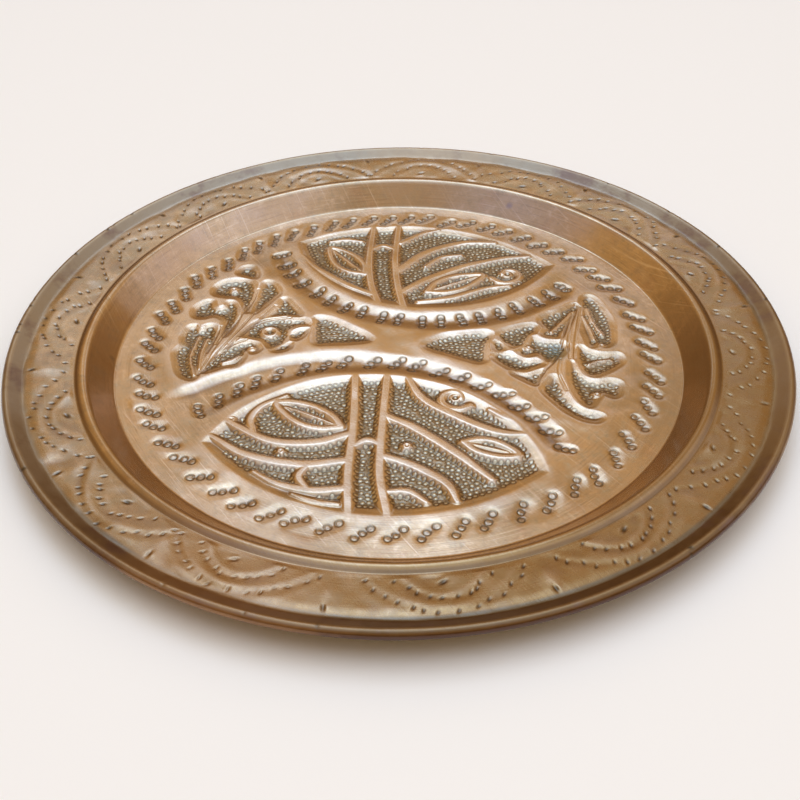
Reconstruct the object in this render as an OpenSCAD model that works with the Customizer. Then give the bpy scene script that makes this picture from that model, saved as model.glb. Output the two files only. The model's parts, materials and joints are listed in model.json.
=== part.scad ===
// Round copper tray with a chased floor, a broad flange and an edge rolled round a wire.
// Origin: centre of the plane that the tray rests on. +Z is up, +Y points to the far panel.

/* [Tray] */
// Diameter over the wired edge
tray_d = 340; // [280:5:420]
// Thickness of the copper sheet
sheet_t = 0.9; // [0.7:0.1:1.2]

/* [Flange] */
// Width of the flange, from the groove beside the inner bead to the valley below the edge
flange_w = 21.5; // [16:0.5:28]
// Height that the flange gains from its groove to its brow
flange_rise = 1.3; // [0.5:0.1:2.5]
// Distance from the flange's brow to the valley
brow_w = 4; // [3:0.5:6]
// Drop from the brow to the valley
brow_drop = 0.3; // [0.2:0.1:1]

/* [Well] */
// Drop from the inner bead's crest to the floor
well_depth = 10.8; // [8:0.2:14]
// Run of the sloping wall, from the floor to the line of the bead's crest
wall_run = 11; // [8:0.5:14]
// Width of the inner bead's outer flank, from its crest to the groove
bead_flank = 3.6; // [3:0.2:5]
// Height of the inner bead's crest over the groove
bead_h = 1.4; // [0.8:0.1:2]

/* [Wired edge] */
// Diameter of the wire hoop in the rolled edge
wire_d = 2.2; // [1.8:0.1:3]
// Clearance between the wire and the sheet rolled round it
wire_gap = 0.05; // [0.03:0.01:0.1]
// Gap between the two butted ends of the wire hoop
wire_joint = 1.5; // [0.5:0.5:4]
// Height of the rolled edge's crest over the valley
edge_h = 2.9; // [2:0.1:4]
// Run of the cove, from the valley to the centre line of the wire
cove_run = 6; // [5:0.5:8]

/* [Chased panels] */
// Depth that the chased panels are sunk below the floor
panel_depth = 1; // [0.6:0.1:1.5]
// Width of the plain border between the floor's crease and the panels
border_w = 25; // [20:1:30]
// Angle that the panels' axis is turned clockwise from +Y
panel_turn = 10; // [-45:1:45]
// Distance from the tray's centre to the far lens
far_lens_at = 36.5; // [32:0.5:45]
// Radius of the far lens's arc
far_lens_r = 66; // [50:1:80]
// Distance from the tray's centre to the far band
far_band_at = 15.5; // [12:0.5:20]
// Radius of the far band's arc on its middle side
far_band_r = 87; // [70:1:105]
// Width of the far band on the panels' axis
far_band_w = 15; // [10:0.5:16]
// Radius of the far band's arc on its lens side
far_ridge_r = 73; // [60:1:88]
// Distance from the tray's centre to the near lens
near_lens_at = 21.5; // [21:0.5:28]
// Radius of the near lens's arc
near_lens_r = 71; // [56:1:86]
// Distance from the tray's centre to the near band
near_band_at = 3; // [1:0.5:4]
// Radius of the near band's arc on its middle side
near_band_r = 107; // [88:1:130]
// Width of the near band on the panels' axis
near_band_w = 15.5; // [10:0.5:16]
// Radius of the near band's arc on its lens side
near_ridge_r = 80; // [64:1:88]

/* [Hidden] */
$fn = 96;
arc_steps = 8;      // steps in one rounded bend of the sheet
roll_steps = 28;    // steps in the roll round the wire
roll_end = -165;    // angle on the wire, in degrees, where the roll's cut edge stops
crease_r = 2.2;     // bend radius where the floor turns up into the wall
crest_r = 2.6;      // bend radius over the inner bead
groove_r = 1.4;     // bend radius in the groove beside the bead
brow_r = 14;        // bend radius over the flange's brow
valley_r = 4;       // bend radius in the valley below the edge
cut_over = 1;       // how far a cutting solid stands above the floor

wire_r = wire_d / 2;
roll_r = wire_r + wire_gap + sheet_t;
roll_mid_r = roll_r - sheet_t / 2;
wire_ring_r = tray_d / 2 - roll_r;
valley_at = wire_ring_r - cove_run;
groove_at = valley_at - flange_w;
crest_at = groove_at - bead_flank;
floor_r = crest_at - wall_run;
field_r = floor_r - border_w;

// Heights of the sheet's middle surface
floor_z = panel_depth + sheet_t / 2;
crest_z = floor_z + well_depth;
groove_z = crest_z - bead_h;
brow_z = groove_z + flange_rise;
valley_z = brow_z - brow_drop;
wire_z = valley_z + sheet_t / 2 + edge_h - roll_r;

function unit(v) = v / norm(v);
function polar(r, angle) = r * [cos(angle), sin(angle)];
function short_turn(angle) = angle > 180 ? angle - 360 : angle < -180 ? angle + 360 : angle;

// Points round the bend at corner b of the line a-b-c
function bend(a, b, c, r) =
    let (to_a = unit(a - b),
         to_c = unit(c - b),
         half = acos(to_a * to_c) / 2,
         centre = b + unit(to_a + to_c) * r / sin(half),
         from_centre = b + to_a * r / tan(half) - centre,
         to_end = b + to_c * r / tan(half) - centre,
         start = atan2(from_centre.y, from_centre.x),
         turn = short_turn(atan2(to_end.y, to_end.x) - start))
    [for (i = [0:arc_steps]) centre + polar(r, start + turn * i / arc_steps)];

// Where the corner over the bead lies, so that its bend of radius crest_r just reaches crest_z
wall_slope = atan2(well_depth, wall_run);
flank_slope = atan2(bead_h, bead_flank);
crest_half = (180 - wall_slope - flank_slope) / 2;
crest_lift = crest_r * (cos((wall_slope - flank_slope) / 2) / sin(crest_half) - 1);

axis_point = [0, floor_z];
crease_point = [floor_r, floor_z];
crest_point = [crest_at, crest_z + crest_lift];
groove_point = [groove_at, groove_z];
brow_point = [valley_at - brow_w, brow_z];
valley_point = [valley_at, valley_z];
wire_point = [wire_ring_r, wire_z];

// The cove runs from the valley along the tangent to the roll
to_wire = wire_point - valley_point;
cove_slope = atan2(to_wire.y, to_wire.x) + asin(roll_mid_r / norm(to_wire));
roll_start = cove_slope + 90;
cove_end = wire_point + polar(roll_mid_r, roll_start);

// Middle line of the sheet, from the axis to the roll's cut edge
sheet_line = concat(
    [axis_point],
    bend(axis_point, crease_point, crest_point, crease_r),
    bend(crease_point, crest_point, groove_point, crest_r),
    bend(crest_point, groove_point, brow_point, groove_r),
    bend(groove_point, brow_point, valley_point, brow_r),
    bend(brow_point, valley_point, cove_end, valley_r),
    [for (i = [0:roll_steps])
        wire_point + polar(roll_mid_r, roll_start + (roll_end - roll_start) * i / roll_steps)]
);

// Points of a line moved sideways by d, to the left of its direction
function beside(line, d) =
    [for (i = [0:len(line) - 1])
        let (before = unit(line[max(i, 1)] - line[max(i, 1) - 1]),
             after = unit(line[min(i + 1, len(line) - 1)] - line[min(i + 1, len(line) - 1) - 1]),
             along = unit(before + after))
        line[i] + [-along.y, along.x] * d / (along * before)];

function reversed(list) = [for (i = [len(list) - 1:-1:0]) list[i]];

// The spun sheet: floor, wall, inner bead, flange, cove and roll
module spun_sheet() {
    rotate_extrude($fn = 180)
        polygon(concat(beside(sheet_line, sheet_t / 2), reversed(beside(sheet_line, -sheet_t / 2))));
}

// A disc that starts at a distance from the tray's centre, with its radius grown by more
module disc_from(start, r, more) {
    translate([0, start + r]) circle(r = r + more);
}

// The lens between an arc that starts at a distance from the centre and the field's circle
module lens(start, r, more) {
    intersection() {
        circle(r = field_r + more);
        disc_from(start, r, more);
    }
}

// The curved band between two arcs, cut off by the field's circle
module band(start, r, w, end_r, more) {
    difference() {
        lens(start, r, more);
        disc_from(start + w, end_r, -more);
    }
}

// The outlines of the four sunken panels, grown by more
module panels(more) {
    rotate(-panel_turn) {
        lens(far_lens_at, far_lens_r, more);
        band(far_band_at, far_band_r, far_band_w, far_ridge_r, more);
    }
    rotate(180 - panel_turn) {
        lens(near_lens_at, near_lens_r, more);
        band(near_band_at, near_band_r, near_band_w, near_ridge_r, more);
    }
}

module tray_sheet() {
    floor_top = panel_depth + sheet_t;
    color("peru")
        difference() {
            union() {
                spun_sheet();
                linear_extrude(floor_top) panels(sheet_t);
            }
            translate([0, 0, sheet_t]) linear_extrude(panel_depth + cut_over) panels(0);
        }
}

module rim_wire() {
    joint_angle = 2 * asin(wire_joint / 2 / wire_ring_r);
    color("dimgray")
        rotate([0, 0, -90 + joint_angle / 2])
            rotate_extrude(angle = 360 - joint_angle)
                translate(wire_point) circle(r = wire_r, $fn = 32);
}

tray_sheet();
rim_wire();
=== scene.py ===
"""Looks for the round copper tray: one chased and punched sheet round an iron wire.

The sheet is one closed mesh: the top skin, the roll round the wire and the underside. Its
relief is worked out on a fine raster of the floor and on a lattice of the flange, then a
quadtree keeps small faces only where the surface bends. Lengths are millimetres, angles degrees.
"""

import json
import math

import bpy
import numpy as np
from mathutils import Matrix, Vector

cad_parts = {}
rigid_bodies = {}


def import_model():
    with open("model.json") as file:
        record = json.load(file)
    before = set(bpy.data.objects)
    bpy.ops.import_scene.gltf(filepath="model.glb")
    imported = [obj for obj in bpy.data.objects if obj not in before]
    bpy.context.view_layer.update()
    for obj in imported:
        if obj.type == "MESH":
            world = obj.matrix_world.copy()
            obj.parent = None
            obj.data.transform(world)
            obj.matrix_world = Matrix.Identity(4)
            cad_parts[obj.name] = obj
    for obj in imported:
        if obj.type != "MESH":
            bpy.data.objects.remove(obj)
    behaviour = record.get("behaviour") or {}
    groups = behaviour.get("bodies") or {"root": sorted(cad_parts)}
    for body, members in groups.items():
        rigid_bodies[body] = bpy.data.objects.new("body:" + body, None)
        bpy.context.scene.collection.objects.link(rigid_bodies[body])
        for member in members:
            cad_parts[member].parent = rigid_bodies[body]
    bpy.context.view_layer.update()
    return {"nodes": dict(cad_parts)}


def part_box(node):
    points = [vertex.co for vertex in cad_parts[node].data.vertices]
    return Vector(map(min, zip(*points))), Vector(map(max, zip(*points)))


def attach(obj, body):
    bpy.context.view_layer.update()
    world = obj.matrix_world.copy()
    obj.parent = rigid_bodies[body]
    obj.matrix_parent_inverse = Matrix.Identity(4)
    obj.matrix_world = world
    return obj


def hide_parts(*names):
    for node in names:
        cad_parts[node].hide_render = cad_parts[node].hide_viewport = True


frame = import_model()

MM = 0.001
rng = np.random.default_rng(7)

# The sheet, with the same values as the CAD part; radii and heights come from the frame
SHEET_T = 0.9
PANEL_DEPTH = 1.0
ROLL_END = -165.0
WELL_DEPTH = 10.8
WALL_RUN = 11.0
BEAD_FLANK = 3.6
BEAD_H = 1.4
FLANGE_W = 21.5
BROW_W = 4.0
FLANGE_RISE = 1.3
BROW_DROP = 0.3
COVE_RUN = 6.0
CREASE_R, CREST_R, GROOVE_R, BROW_R, VALLEY_R = 2.2, 2.6, 1.4, 14.0, 4.0

wire_low, wire_high = (np.array(c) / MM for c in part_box("rim_wire"))
sheet_low, sheet_high = (np.array(c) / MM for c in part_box("tray_sheet"))
WIRE_R = (wire_high[2] - wire_low[2]) / 2
WIRE_Z = (wire_high[2] + wire_low[2]) / 2
TRAY_R = min(*sheet_high[:2], *-sheet_low[:2])
ROLL_MID_R = sheet_high[2] - WIRE_Z - SHEET_T / 2
WIRE_RING_R = TRAY_R - ROLL_MID_R - SHEET_T / 2
FLOOR_TOP = PANEL_DEPTH + SHEET_T

# The mesh lattice
JOIN_R = 122.0          # where the floor's square lattice meets the rings of the wall
CELLS = 616             # cells along a side of the floor's lattice
BLOCK = 8               # cells along a side of the largest face
RING_STEP = 0.42        # spacing of the rings along the sheet
ROLL_STEP = 10.0        # spacing of the rings round the wire, in degrees
COLUMNS = 4 * CELLS
MAP_R = 0.245           # radius of each skin's disc in the map
UNDER_RELIEF = 0.8      # the flange's relief on the underside, against that on top
TOP_FIT, UNDER_FIT, RIM_FIT = 0.012, 0.03, 0.014     # how far large faces may stray


def smooth(x):
    """A smooth step from 0 at x = 0 to 1 at x = 1."""
    x = np.clip(x, 0.0, 1.0)
    return x * x * (3 - 2 * x)


def bell(x, width):
    return np.exp(-(x / width) ** 2)


def polar(radius, degrees):
    a = math.radians(degrees)
    return np.array([radius * math.cos(a), radius * math.sin(a)])


# ---- the raster of the floor
PITCH = 0.25            # spacing of the raster's points
HALF = 124.0            # half the raster's side
CURVE_STEP = 0.9
axis = np.arange(-HALF, HALF + PITCH / 2, PITCH)
GX, GY = np.meshgrid(axis, axis)            # [row = y, column = x]


class Window:
    """The part of the raster within a box, with margin."""

    def __init__(self, low, high, margin):
        i0, j0 = (int(max(0, (v - margin + HALF) / PITCH)) for v in low)
        i1, j1 = (int(min(len(axis), (v + margin + HALF) / PITCH + 2)) for v in high)
        self.at = (slice(j0, j1), slice(i0, i1))
        self.x = GX[self.at]
        self.y = GY[self.at]


def curve(points, closed=False):
    """Points, about CURVE_STEP apart, along a smooth Catmull-Rom curve through the given ones."""
    p = np.asarray(points, float)
    n = len(p)
    spans = n if closed else n - 1
    out = []
    for i in range(spans):
        if closed:
            a, b, c, d = (p[(i + k) % n] for k in (-1, 0, 1, 2))
        else:
            b, c = p[i], p[i + 1]
            a = p[i - 1] if i else 2 * b - c
            d = p[i + 2] if i + 2 < n else 2 * c - b
        count = max(2, int(np.linalg.norm(c[:2] - b[:2]) / CURVE_STEP))
        t = np.arange(count)[:, None] / count
        out.append(0.5 * (2 * b + (c - a) * t + (2 * a - 5 * b + 4 * c - d) * t ** 2
                          + (3 * b - a - 3 * c + d) * t ** 3))
    if not closed:
        out.append(p[-1:])
    return np.concatenate(out)


def rib_distance(win, line, widths):
    """Distance from a tapering line's edge, negative inside it."""
    best = np.full(win.x.shape, 1e9)
    half = np.asarray(widths) / 2
    for k in range(len(line) - 1):
        ax, ay = line[k]
        dx, dy = line[k + 1] - line[k]
        t = np.clip(((win.x - ax) * dx + (win.y - ay) * dy) / (dx * dx + dy * dy + 1e-9), 0, 1)
        here = half[k] + t * (half[k + 1] - half[k])
        np.minimum(best, np.hypot(win.x - ax - t * dx, win.y - ay - t * dy) - here, out=best)
    return best


def outline_distance(win, line):
    """Distance inside a closed outline: positive inside, negative outside."""
    x, y = win.x, win.y
    best = np.full(x.shape, 1e9)
    inside = np.zeros(x.shape, bool)
    for a, b in zip(line, np.roll(line, -1, axis=0)):
        dx, dy = b - a
        t = np.clip(((x - a[0]) * dx + (y - a[1]) * dy) / (dx * dx + dy * dy + 1e-9), 0, 1)
        np.minimum(best, (x - a[0] - t * dx) ** 2 + (y - a[1] - t * dy) ** 2, out=best)
        if abs(dy) > 1e-12:
            crosses = ((a[1] > y) != (b[1] > y)) & (x < a[0] + dx * (y - a[1]) / dy)
            inside ^= crosses
    return np.where(inside, np.sqrt(best), -np.sqrt(best))


def blurred(field, sigma):
    """A Gaussian blur of a raster; sigma in millimetres."""
    reach = int(3 * sigma / PITCH)
    k = np.exp(-0.5 * (np.arange(-reach, reach + 1) * PITCH / sigma) ** 2)
    k /= k.sum()
    for ax in (0, 1):
        field = np.apply_along_axis(lambda v: np.convolve(v, k, mode="same"), ax, field)
    return field


# ---- the chased pattern
EDGE_SLOPE = 5.2        # run of a cell's outer slope
RIB_SLOPE = 1.9         # run of the slope beside a raised line
RIB_TOP = -4.0          # the cell distance at the middle of a raised line
CELL_DEPTH = 0.76
SKIRT_DEPTH = 0.30      # how far the plain metal is drawn down round the cells
SKIRT_RUN = 8.0
LIP = 0.38              # how far the metal beside the cells stands up
LIP_RUN = 3.2
SOFTEN = 1.8            # blur of the skirt and the lip
FAR_OUT = 9.0           # the largest distance outside a cell that matters
TROUGH_DEPTH = 0.95
TROUGH_SLOPE = 8.0
PUNCH_GAP = 2.25        # least spacing of the ground's ring punches
PUNCH_R = 0.96
BAR_PUNCH_R = 1.42

# Each panel lies inside two circles: centre and radius
LENSES = [
    (((17.8, 100.8), 66.0), ((0.1, 8.4), 94.8)),
    (((-13.9, -91.0), 70.7), ((-2.2, -10.1), 90.5)),
]
# Each channel: centre of its bars' arc, radius, first and last angle, count, slant, trough's arcs
CHANNELS = [
    dict(centre=(18.9, 101.2), r=80.0, start=195.5, end=319.0, count=19, slant=4.0,
         inner=((18.7, 101.4), 72.4), outer=((19.6, 101.0), 87.8), bar=(9.6, 4.8), rings=4),
    dict(centre=(-16.6, -97.6), r=89.2, start=140.3, end=21.0, count=19, slant=-38.0,
         inner=((-16.6, -97.6), 80.2), outer=((-26.4, -107.1), 107.6), bar=(9.5, 5.0), rings=3),
]
# The border's bars: radius, mean step and how much closer and deeper the far side's bars are
BORDER = dict(r=112.6, step=5.75, closer=0.6, depth=0.62, deeper=0.18, bar=(10.8, 4.2), slant=44.0, rings=3)


def curl(centre, radius, start, turns, width):
    """A tendril that winds inwards and thins out: points as (x, y, width)."""
    out = []
    for k in range(int(abs(turns) * 10) + 1):
        done = k / (abs(turns) * 10)
        at = centre + polar(radius * (1 - 0.72 * done), start + math.copysign(36.0 * k, turns))
        out.append((at[0], at[1], width * (1 - 0.35 * done)))
    return out


def blade(base, tip, belly, width):
    """A leaf's closed outline: the middle swells to one side and the other by belly."""
    base, tip = np.array(base, float), np.array(tip, float)
    along = tip - base
    side = np.array([-along[1], along[0]]) / np.hypot(*along)
    out = []
    sides = ((0, 0), (0.22, 0.75), (0.5, 1), (0.8, 0.62), (1, 0), (0.86, -0.55), (0.55, -0.9),
             (0.24, -0.7))
    for t, s in sides:
        at = base + along * t + side * belly * s
        out.append((at[0], at[1], width))
    return out + out[:1]


# Raised lines of the two lens panels, a vine with leaves and tendrils: (x, y, width)
FAR_LINES = [
    [(3, 32, 4.0), (0, 52, 4.0), (-1, 76, 3.8), (1, 106, 3.4)],
    [(-9, 36, 3.8), (-13, 54, 4.0), (-14, 76, 3.8), (-12, 106, 3.2)],
    [(-1, 84, 2.4), (-7, 88, 3.4), (-13, 84, 2.4)],
    [(2, 46, 4.0), (16, 58, 4.4), (34, 68, 4.2), (52, 74, 3.4), (66, 76, 2.4)],
    [(0, 64, 4.0), (14, 80, 4.4), (32, 89, 4.0), (50, 89, 2.8)],
    blade((14, 46), (42, 60), 6.0, 3.0),
    [(15, 46.5, 1.0), (28, 53.0, 1.6), (39, 58.5, 0.6)],
    curl((54, 60), 8.5, 200, 0.95, 3.4),
    [(2, 90, 3.2), (12, 98, 3.0), (22, 102, 2.2)],
    blade((-16, 62), (-34, 86), 6.5, 3.0),
    [(-17, 63.5, 1.0), (-25, 74.0, 1.6), (-32, 83.5, 0.6)],
    [(-11, 44, 3.6), (-26, 54, 4.0), (-40, 68, 3.4), (-48, 80, 2.4)],
    [(10, 38, 2.8), (26, 41, 3.4), (42, 48, 3.0), (54, 50, 2.2)],
    [(-18, 92, 2.4), (-26, 94, 3.2), (-34, 92, 2.2)],
    [(14, 68, 2.2), (22, 76, 3.0), (32, 78, 2.4)],
]
NEAR_LINES = [
    [(-5, -103, 4.2), (-8, -80, 4.4), (-7, -50, 4.2), (-5, -18, 3.8)],
    [(-20, -102, 4.2), (-20.5, -80, 4.4), (-19, -50, 4.2), (-19, -18, 3.8)],
    [(-19, -64, 2.6), (-13, -60, 3.8), (-7, -64, 2.6)],
    [(-20, -72, 4.2), (-40, -74, 4.8), (-62, -68, 4.4), (-78, -56, 3.0)],
    [(-20, -56, 3.8), (-34, -61, 4.6), (-52, -60, 4.4), (-68, -50, 3.8), (-82, -38, 2.4)],
    blade((-24, -52), (-52, -36), 6.5, 3.4),
    [(-26, -51, 1.0), (-38, -44, 1.8), (-48, -38.5, 0.6)],
    [(-60, -54, 2.6), (-62, -46, 3.8), (-58, -38, 3.2), (-48, -31, 2.2)],
    [(-20, -88, 4.0), (-34, -89, 4.4), (-48, -85, 3.6), (-58, -78, 2.4)],
    [(-36, -74, 2.4), (-40, -81, 3.6), (-36, -88, 2.4)],
    [(-24, -97, 2.8), (-34, -95, 3.4), (-42, -91, 2.2)],
    [(-7, -44, 3.6), (6, -53, 4.6), (22, -68, 4.6), (36, -84, 3.2)],
    [(4, -20, 3.2), (10, -34, 4.2), (24, -46, 4.6), (40, -56, 4.2), (54, -58, 2.6)],
    curl((24, -34), 8.0, 320, -0.95, 3.6),
    [(-6, -70, 3.8), (6, -76, 4.4), (18, -86, 4.2), (22, -96, 3.0)],
    blade((26, -62), (48, -70), 4.6, 3.2),
    [(28, -63, 0.8), (37, -66, 1.2), (44, -68.5, 0.5)],
    [(-4, -90, 2.8), (3, -90, 3.6), (10, -96, 2.4)],
    [(38, -42, 2.4), (46, -48, 3.6), (54, -48, 2.4)],
]

# Closed outlines of the leaf fields' cells, first the left field's, then the right one's
LEAF_CELLS = [
    [(-91, -19), (-95.5, -16), (-98.5, -8), (-100, 0), (-97.5, 6), (-98, 12), (-96.5, 18.5), (-93.5, 19.5),
     (-91, 17), (-87.5, 20), (-84, 18), (-83, 12), (-84.5, 5), (-87, -2), (-88.5, -10), (-89, -17)],
    [(-95, 28), (-95.5, 34), (-92, 38.8), (-88.5, 39.3), (-87, 35), (-84, 33.5), (-81.5, 35.5), (-80, 39),
     (-77.5, 38), (-75.5, 33), (-75.5, 25), (-77, 18), (-79.5, 12.5), (-80.5, 18), (-81, 25), (-86, 28.5),
     (-91, 27)],
    [(-87.5, 46), (-88, 51), (-84, 56), (-78, 57.5), (-72, 56.5), (-69.3, 52), (-69, 44), (-70, 36),
     (-71, 31), (-73, 36), (-76, 42), (-82, 44)],
    [(-66, 50), (-63.5, 55.5), (-59.5, 53), (-57, 47), (-59.5, 42), (-64, 35), (-67.5, 30.5), (-68, 37),
     (-66.5, 43)],
    [(-54, 41), (-50, 36), (-46.5, 30), (-46, 27.5), (-52, 27.8), (-59, 27.4), (-62.5, 25.5), (-58.5, 31),
     (-56, 36)],
    [(-65, 22.5), (-57, 25.3), (-50, 24.8), (-44, 24), (-41, 20.5), (-46, 19.5), (-50, 16.5), (-50.5, 11),
     (-53, 5.5), (-57, 3.5), (-60, 6), (-62, 9), (-66, 10.5), (-70, 12.5), (-68.5, 17.5)],
    [(-50, 12), (-47, 15.2), (-42, 16.5), (-43.5, 12), (-47, 9)],
    [(-56, 1), (-52.5, 5), (-49, 5.5), (-49.5, 2.5), (-53, 0.5)],
    [(-83, -4), (-77, 3), (-70, 7.5), (-64.5, 6.5), (-62.5, 2.5), (-65, -0.5), (-68.5, 0.5), (-69.5, -5),
     (-72, -9.5), (-77, -10), (-82, -12.5), (-86, -13.5)],
    [(-78, 64), (-75.5, 68.5), (-71.5, 68.5), (-69, 63), (-70, 59.5), (-74, 61)],
    [(-38.5, 22), (-37, 25.5), (-30, 23), (-22, 17), (-15, 11.5), (-13, 7.5), (-20, 6), (-30, 5.5),
     (-37, 5.5), (-38.5, 12)],
    [(12, 4), (20, 9.5), (30, 12), (40, 12.5), (42.5, 9.5), (40, 4), (39, -2), (38.5, -8), (35, -9.8),
     (30, -7.5), (22, -3.5), (15, 0)],
    [(46, 11), (52, 15), (59, 17.5), (63.5, 17), (63, 13), (60, 10), (58, 6), (56, 2), (51.5, 2),
     (47, 6)],
    [(66, 21), (70, 25.5), (76, 28.5), (83, 33), (85, 30.5), (82, 25), (79, 19.5), (76, 13), (73, 8.5),
     (69, 8.5), (66, 11), (68, 15)],
    [(43, 4.5), (46.5, 5.5), (48, 0.5), (44.5, -1.5)],
    [(42, -5), (45, -10), (50, -14.5), (55, -16), (59.5, -14), (64, -11), (62, -9), (57, -9), (53, -5.5),
     (49, -3.5), (46, -3)],
    [(61, 9), (65.5, 5.2), (72, 4.5), (75.5, 1.5), (74, -3), (70, -7), (65.5, -8.5), (62.5, -4), (57, -5),
     (54, -2), (57, 2.5), (59.5, 5)],
    [(50, -17.5), (57, -18.5), (63, -17), (61.5, -21), (59.5, -25.5), (55, -22.5)],
    [(88, 38), (91.5, 39.5), (94.5, 35), (97, 26), (98.3, 17), (97.5, 8), (96.5, 3.5), (93.5, 1),
     (90.5, 3), (87, 1), (85.5, 8), (84.8, 16), (86, 25), (86.8, 32)],
    [(81.5, 0), (84, -1), (87.5, -4.5), (93, -5.8), (98, -6), (98.5, -11), (95, -14.5), (91, -17.5),
     (85.5, -20), (82, -18), (80.5, -12), (80.3, -5)],
    [(76.5, -11), (78.5, -16.5), (81.5, -22), (86.5, -24.5), (91.5, -24), (95.3, -26), (95, -31),
     (92, -34.5), (87.5, -32), (84, -36), (81, -40.5), (78, -38), (75.8, -31), (74.8, -24), (75.3, -16)],
    [(68, -21), (70, -26), (71, -33), (74, -40), (79, -44.5), (84.5, -47.5), (82, -50.5), (76, -48.5),
     (70, -43), (66, -37), (62.5, -31), (62.3, -27), (65, -23.5)],
]
# Raised bosses in the cells: centre, radius, and the radius of a hollow in the boss
BOSSES = [
    ((-79, 49.8), 2.6, 0.0), ((-84, 37.5), 2.3, 0.0), ((-91, 21), 2.6, 0.9), ((-59, 15), 4.6, 1.9),
    ((-66, 2.6), 1.7, 0.0), ((58.5, 0.5), 1.8, 0.0), ((91.5, 1.2), 2.0, 0.0), ((84.5, -33), 2.0, 0.0),
    ((3, -64), 2.4, 0.0), ((-48, -66), 2.0, 0.0),
    ((-70, -46), 2.2, 0.0), ((54, 60), 2.6, 1.0), ((24, -34), 2.6, 1.0),
]
# Raised veins inside the cells: (x, y, width)
VEINS = [
    [(-90, -16, 1.2), (-93, -4, 1.2), (-92, 6, 1.0), (-91, 12, 0.8)],
    [(-88, -12, 1.0), (-88.5, 0, 1.0), (-87, 10, 0.8)],
    [(-78, -8, 1.6), (-74, -6, 2.4), (-71, -3, 1.2)],
    [(89, 30, 0.9), (90, 20, 0.9), (93, 10, 0.7)],
    [(86, 24, 0.9), (88, 14, 0.8), (89, 6, 0.6)],
    [(70, 12, 0.9), (76, 20, 0.9), (82, 28, 0.7)],
    [(84, -12, 0.9), (88, -10, 0.9), (94, -9, 0.7)],
]
# Fine chased lines of the stems: (x, y, width)
STEM_LINES = [
    [(-88, -16, 1.0), (-84, 0, 0.9), (-79, 14, 0.8), (-74, 26, 0.8), (-72, 38, 0.5)],
    [(-87, -15, 1.0), (-81, 0, 0.9), (-75, 13, 0.9), (-70, 24, 0.8), (-67, 30, 0.5)],
    [(-86, -14.5, 1.0), (-79, -1, 0.9), (-72, 12, 0.9), (-65, 23, 0.8), (-58, 36, 0.5)],
    [(-77, 6, 0.8), (-69, 19, 0.8), (-62, 25, 0.7), (-52, 27, 0.5)],
    [(-73, 12, 0.8), (-68, 19, 0.7), (-60, 24.5, 0.6), (-50, 26, 0.5)],
    [(-83, 6, 0.8), (-79, 22, 0.7), (-78, 34, 0.5)],
    [(-86, 0, 0.8), (-84, 8, 0.7), (-82, 20, 0.5)],
    [(-73, 29, 0.7), (-69, 40, 0.7), (-67.5, 50, 0.5)],
    [(-82, -3, 0.8), (-76, 5, 0.7), (-69, 9.5, 0.5)],
    [(85, 33, 0.9), (80, 18, 0.9), (77, 5, 0.8), (76, -8, 0.7)],
    [(86, 32, 0.8), (83, 18, 0.8), (80, 4, 0.8), (78, -8, 0.6)],
    [(84, 34, 0.8), (77, 14, 0.8), (70, -8, 0.8), (64, -16, 0.6)],
    [(74, 0, 0.8), (68, -11, 0.8), (62, -20, 0.7), (60, -26, 0.5)],
    [(72, -8, 0.7), (70, -18, 0.7), (72, -30, 0.6)],
]

top = np.zeros_like(GX)           # height over the plain floor
cell = np.full_like(GX, -FAR_OUT)     # distance inside the nearest sunken cell, negative outside


def cut_cell(win, distance):
    """Raises a feature in the cells: keeps its outside distance, scaled to the steeper slope."""
    scaled = np.maximum(distance * (EDGE_SLOPE / RIB_SLOPE), RIB_TOP)
    np.minimum(cell[win.at], scaled, out=cell[win.at])


def circle_inside(centre, r):
    """Distance inside a circle, over the whole raster."""
    return r - np.hypot(GX - centre[0], GY - centre[1])


def lens_panels():
    for first, second in LENSES:
        inside = np.minimum(circle_inside(*first), circle_inside(*second))
        np.maximum(cell, inside, out=cell)


def leaf_cells():
    for outline in LEAF_CELLS:
        line = curve(outline, closed=True)
        win = Window(line.min(0), line.max(0), FAR_OUT)
        np.maximum(cell[win.at], outline_distance(win, line) * 1.15, out=cell[win.at])


def raised_lines():
    for points in FAR_LINES + NEAR_LINES + VEINS:
        line = curve(points)
        win = Window(line[:, :2].min(0), line[:, :2].max(0), 5.0)
        cut_cell(win, rib_distance(win, line[:, :2], line[:, 2] + 0.7))
    for centre, r, hollow in BOSSES:
        win = Window(centre, centre, r + 4)
        rho = np.hypot(win.x - centre[0], win.y - centre[1])
        cut_cell(win, np.maximum(rho - r, hollow - rho))


def bar_distance(win, centre, direction, size):
    """Distance inside a bar with round ends."""
    length, width = size
    dx, dy = win.x - centre[0], win.y - centre[1]
    along = dx * direction[0] + dy * direction[1]
    across = -dx * direction[1] + dy * direction[0]
    past = np.maximum(np.abs(along) - (length - width) / 2, 0)
    return width / 2 - np.hypot(past, across)


big_rings = []       # centres of the larger ring punches


def sink_bar(centre, direction, size, rings, depth, slope):
    win = Window(centre, centre, size[0])
    inside = bar_distance(win, centre, direction, size)
    np.minimum(top[win.at], top[win.at] - depth * smooth((inside + slope * 0.45) / slope), out=top[win.at])
    pitch = (size[0] - 2.6) / max(rings - 1, 1)
    for k in range(rings):
        along = (k - (rings - 1) / 2) * min(pitch, 4.2) + rng.normal(0, 0.25)
        across = rng.normal(0, 0.35)
        big_rings.append((centre[0] + along * direction[0] - across * direction[1],
                          centre[1] + along * direction[1] + across * direction[0]))


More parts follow.
